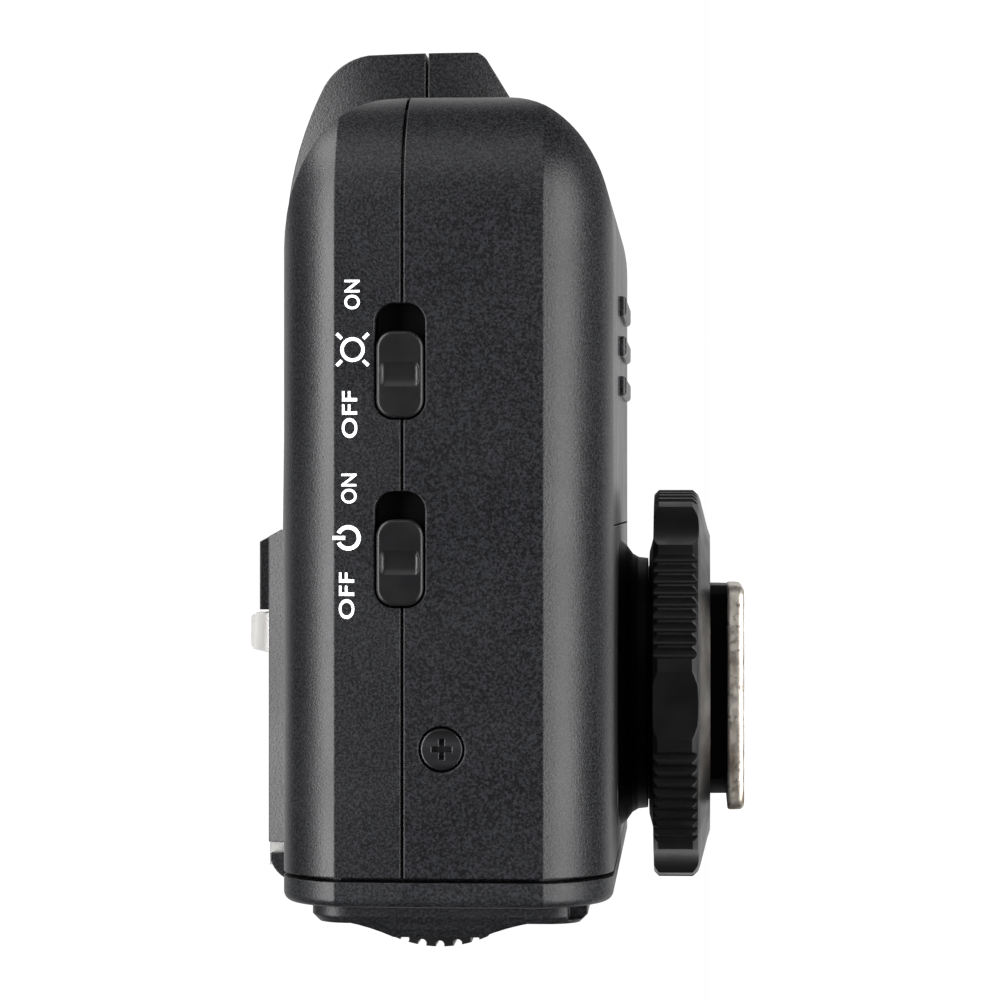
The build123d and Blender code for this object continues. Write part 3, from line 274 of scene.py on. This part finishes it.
def side_point(y, z):
    """A printed point on the right-hand flank, which leans in a little above the parting line."""
    hit, spot, _, _ = NODES["upper_shell"].ray_cast(Vector((2 * FLANK_X, y, z)), Vector((-1, 0, 0)))
    return Vector(((spot.x if hit else FLANK_X) + INK_LIFT, y, z))


def panel_point(x, z):
    """A printed point on the rear panel."""
    return Vector((x, PANEL_INK, z))


def display_point(x, z):
    """A point on the face of the display, under its window."""
    return Vector((x, DISPLAY_INK, z))


def printed(name, outlines, place, lift, material=WHITE):
    """Flat printed shapes from closed outlines of (u, v) points, given a small thickness."""
    mesh = bmesh.new()
    for outline in outlines:
        low = [mesh.verts.new(place(u, v)) for u, v in outline]
        high = [mesh.verts.new(vert.co + lift) for vert in low]
        mesh.faces.new(reversed(low))
        mesh.faces.new(high)
        for i in range(len(low)):
            j = (i + 1) % len(low)
            mesh.faces.new((low[i], low[j], high[j], high[i]))
    bmesh.ops.recalc_face_normals(mesh, faces=mesh.faces)
    return from_bmesh(name, mesh, material)


def arc_band(u, v, inner, outer, start, stop, steps=48):
    """Outline of a ring sector about (u, v), angles in degrees from the +u axis."""
    angles = [math.radians(start + (stop - start) * i / steps) for i in range(steps + 1)]
    out = [(u + outer * math.cos(a), v + outer * math.sin(a)) for a in angles]
    back = [(u + inner * math.cos(a), v + inner * math.sin(a)) for a in reversed(angles)]
    return out + back


def bar(u, v, angle, near, far, width):
    """Outline of a straight stroke that runs outward from (u, v) between two radii."""
    a = math.radians(angle)
    along, across = Vector((math.cos(a), math.sin(a))), Vector((-math.sin(a), math.cos(a))) * (width / 2)
    centre = Vector((u, v))
    corners = (centre + along * near + across, centre + along * far + across,
               centre + along * far - across, centre + along * near - across)
    return [tuple(c) for c in corners]


def lettering(name, text, low, high, place=side_point, out=Vector((1, 0, 0)), material=WHITE):
    """A word fitted between two (u, v) corners of a printed face that looks along out."""
    curve = bpy.data.curves.new(name, "FONT")
    curve.body = text
    curve.offset = LETTER_WEIGHT
    curve.space_character = 1.08
    curve.resolution_u = 6
    curve.extrude = 1.0
    flat = bpy.data.objects.new(name, curve)
    bpy.context.scene.collection.objects.link(flat)
    bpy.context.view_layer.update()
    data = bpy.data.meshes.new_from_object(flat.evaluated_get(bpy.context.evaluated_depsgraph_get()))
    bpy.data.objects.remove(flat)
    left, right = min(v.co.x for v in data.vertices), max(v.co.x for v in data.vertices)
    foot, head = min(v.co.y for v in data.vertices), max(v.co.y for v in data.vertices)
    for vert in data.vertices:
        u = low[0] + (high[0] - low[0]) * (vert.co.x - left) / (right - left)
        v = low[1] + (high[1] - low[1]) * (vert.co.y - foot) / (head - foot)
        vert.co = place(u, v) + out * (INK_THICK if vert.co.z > 0 else 0.0)
    data.materials.clear()
    data.materials.append(material)
    word = bpy.data.objects.new(name, data)
    bpy.context.scene.collection.objects.link(word)
    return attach(word, "case")


def side_legends():
    """OFF and ON beside each slide switch, with a power sign and a lamp sign between them."""
    out = Vector((INK_THICK, 0, 0))
    middles = {
        "power": (POWER_KNOB[0].y + POWER_KNOB[1].y) / 2,
        "lamp": (LAMP_KNOB[0].y + LAMP_KNOB[1].y) / 2,
    }
    words = (  # switch, word, start and end along the case from the knob's middle, height over it, in mm
        ("power", "OFF", -4.28, -0.75, 3.48), ("power", "ON", 4.5, 6.76, 3.3),
        ("lamp", "OFF", -4.83, -1.26, 3.25), ("lamp", "ON", 4.95, 7.19, 3.06),
    )
    for switch, word, start, stop, row in words:
        foot = KNOB_Z + row * MM
        low, high = (middles[switch] + start * MM, foot), (middles[switch] + stop * MM, foot + WORD_RISE)
        lettering(f"legend_{switch}_{word.lower()}", word, low, high)
    y, z = middles["power"] + 1.88 * MM, KNOB_Z + 3.95 * MM
    # the stroke is laid in short steps, so that it follows the curved side
    steps = [(0.23 + 0.16 * i) * MM for i in range(6)]
    stroke = [bar(y, z, 90, near, near + 0.17 * MM, 0.3 * MM) for near in steps]
    ring = arc_band(y, z, 0.66 * MM, 0.97 * MM, 116, 424)
    printed("legend_power_sign", [ring] + stroke, side_point, out)
    y, z = middles["lamp"] + 1.89 * MM, KNOB_Z + 3.62 * MM
    rays = [bar(y, z, angle, 1.17 * MM, 1.72 * MM, 0.26 * MM) for angle in (45, 135, 225, 315)]
    halves = [arc_band(y, z, 0.67 * MM, 0.94 * MM, start, start + 180) for start in (0, 180)]
    printed("legend_lamp_sign", halves + rays, side_point, out)


def rear_word(name, text, centre, foot, rise, width):
    """A word printed on the rear panel above its foot line."""
    low, high = (centre - width / 2, foot), (centre + width / 2, foot + rise)
    lettering(name, text, low, high, panel_point, REARWARD)


def rear_legends():
    """Generic words beside the panel's buttons."""
    for node, text, width in (("mode_button", "MODE", 4.4), ("group_button", "GROUP", 5.4),
                              ("channel_button", "CH", 2.2), ("function_button", "SET", 3.1)):
        low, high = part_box(node)
        rear_word("legend_" + node, text, (low.x + high.x) / 2, high.z + 0.45 * MM, 0.95 * MM, width * MM)
    low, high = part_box("test_button")
    rear_word("legend_test_button", "TEST", (low.x + high.x) / 2, low.z - 1.7 * MM, 1.0 * MM, 4.3 * MM)


SEGMENTS_OF = {"0": "abcdef", "8": "abcdefg"}


def digit(u, v, height, shape):
    """Seven-segment figure whose lower left corner is at (u, v)."""
    width, stroke = height * 0.52, height * 0.11
    half, gap = height / 2, stroke * 0.62
    level = {"a": (0, height), "g": (0, half), "d": (0, 0)}
    upright = {"f": (0, half), "b": (width, half), "e": (0, 0), "c": (width, 0)}
    outlines = []
    for name in SEGMENTS_OF[shape]:
        if name in level:
            x, z = level[name]
            outlines.append(bar(u + x, v + z, 0, gap, width - gap, stroke))
        else:
            x, z = upright[name]
            outlines.append(bar(u + x, v + z, 90, gap, half - gap, stroke))
    return outlines


ROW_PITCH = 2.5  # mm, between the display's three rows


def display_signs():
    """What the display shows: a channel number, three group levels and a cell sign."""
    left, foot = MODULE[0].x + 2.2 * MM, MODULE[0].z + 1.6 * MM
    figures = digit(left + 0.4 * MM, foot, 5.0 * MM, "0") + digit(left + 4.2 * MM, foot, 5.0 * MM, "8")
    for row, level in enumerate((6, 4, 2)):
        v = foot + (0.9 + ROW_PITCH * (2 - row)) * MM
        for step in range(level):
            start = left + (14.2 + 1.7 * step) * MM
            figures.append(bar(start, v, 0, 0, 1.2 * MM, 1.1 * MM))
    printed("display_figures", figures, display_point, REARWARD * INK_THICK, SEGMENT)
    for row, letter in enumerate("ABC"):
        v = foot + (0.3 + ROW_PITCH * (2 - row)) * MM
        low, high = (left + 11.6 * MM, v), (left + 12.8 * MM, v + 1.3 * MM)
        lettering("display_group_" + letter.lower(), letter, low, high, display_point, REARWARD, SEGMENT)
    v = foot + 6.3 * MM
    low, high = (left, v), (left + 2.0 * MM, v + 1.2 * MM)
    lettering("display_channel", "CH", low, high, display_point, REARWARD, SEGMENT)
    cell_foot = v + 0.6 * MM
    cell = [bar(left + 4.4 * MM, cell_foot, 0, 0, 2.8 * MM, 1.2 * MM),
            bar(left + 7.2 * MM, cell_foot, 0, 0, 0.35 * MM, 0.6 * MM)]
    printed("display_cell_sign", cell, display_point, REARWARD * INK_THICK, SEGMENT)


side_legends()
rear_legends()
display_signs()


# ------------------------------------------------------------------ foot springs
SPRINGS = {"foot_centre_spring": "centre_contact_press", "foot_pin_springs": "pin_contacts_press"}
for spring, joint in SPRINGS.items():
    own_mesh(NODES[spring])


# ------------------------------------------------------------------ studio
AIM = Vector((0.02, 0.016, 0.022))  # every light faces this point inside the case
LIGHT_DISTANCE = 0.38


def soft_light(name, place, size, power):
    """Rectangular soft box that the camera itself doesn't see; power in watts."""
    data = bpy.data.lights.new(name, "AREA")
    data.shape = "RECTANGLE"
    data.size, data.size_y = size
    data.energy = power
    made = bpy.data.objects.new(name, data)
    made.location = place
    made.rotation_euler = (AIM - Vector(place)).to_track_quat("-Z", "Y").to_euler()
    made.visible_camera = False
    bpy.context.scene.collection.objects.link(made)


ROOM_STRENGTH = 0.04
BACKDROP_STRENGTH = 1.05


def studio_world():
    """White backdrop behind the object, and a much dimmer white room for everything but the camera."""
    world = bpy.data.worlds.new("studio")
    world.use_nodes = True
    tree = world.node_tree
    tree.nodes.clear()
    mix = tree.nodes.new("ShaderNodeMixShader")
    tree.links.new(tree.nodes.new("ShaderNodeLightPath").outputs["Is Camera Ray"], mix.inputs["Fac"])
    for slot, strength in ((1, ROOM_STRENGTH), (2, BACKDROP_STRENGTH)):
        white = tree.nodes.new("ShaderNodeBackground")
        white.inputs["Color"].default_value = (1, 1, 1, 1)
        white.inputs["Strength"].default_value = strength
        tree.links.new(white.outputs["Background"], mix.inputs[slot])
    tree.links.new(mix.outputs["Shader"], tree.nodes.new("ShaderNodeOutputWorld").inputs["Surface"])
    bpy.context.scene.world = world


FLOOR_HALF = 3.0
FLOOR_Z = -1.3 * MM  # just below the foot plate, clear of the ring's lowest place


def pale_floor():
    """Plain pale floor under the foot; light passes it, so that the under side is lit as well."""
    mesh = bmesh.new()
    bmesh.ops.create_grid(mesh, x_segments=2, y_segments=2, size=FLOOR_HALF)
    data = bpy.data.meshes.new("floor")
    mesh.to_mesh(data)
    mesh.free()
    surface = Surface("floor_paper", (0.8, 0.8, 0.8), 0.9, specular=0.0)
    surface.shader.inputs["Emission Color"].default_value = (1, 1, 1, 1)
    surface.shader.inputs["Emission Strength"].default_value = 0.95
    data.materials.append(surface.done())
    floor = bpy.data.objects.new("floor", data)
    floor.location = (0, 0, FLOOR_Z)
    floor.visible_shadow = False
    floor.visible_glossy = False
    bpy.context.scene.collection.objects.link(floor)


CAMERA_PLACE = Vector((0.321, 0.01553, 0.00392))
CAMERA_BACK = Vector((1, 0, -0.05237)).normalized()
FRONT = Vector((0, 1, 0))


def view_camera():
    """Camera level with the foot on the switch side, rolled so that the front of the case is up."""
    data = bpy.data.cameras.new("camera")
    data.sensor_width = 36
    data.lens = 135.6
    data.clip_start, data.clip_end = 0.01, 20
    camera = bpy.data.objects.new("camera", data)
    turn = Matrix((FRONT.cross(CAMERA_BACK), FRONT, CAMERA_BACK)).transposed().to_4x4()
    camera.matrix_world = Matrix.Translation(CAMERA_PLACE) @ turn
    bpy.context.scene.collection.objects.link(camera)
    bpy.context.scene.camera = camera


def around(angle):
    """A place beside the object at an angle above (+) or below (-) the switch side, seen along Y."""
    turn = math.radians(angle)
    return AIM + Vector((math.cos(turn), 0, math.sin(turn))) * LIGHT_DISTANCE


studio_world()
pale_floor()
view_camera()
soft_light("softbox_upper", around(54), (0.55, 0.17), 3.0)
soft_light("softbox_lower", around(-61), (0.55, 0.26), 2.7)
soft_light("softbox_front", (0.25, 0.42, 0.05), (0.3, 0.2), 0.2)
soft_light("softbox_behind", (-0.5, 0.02, 0.02), (1.2, 1.2), 3.7)
soft_light("softbox_crown", (0.06, 0.34, 0.30), (0.3, 0.2), 1.3)
bpy.context.scene.view_settings.view_transform = "Standard"
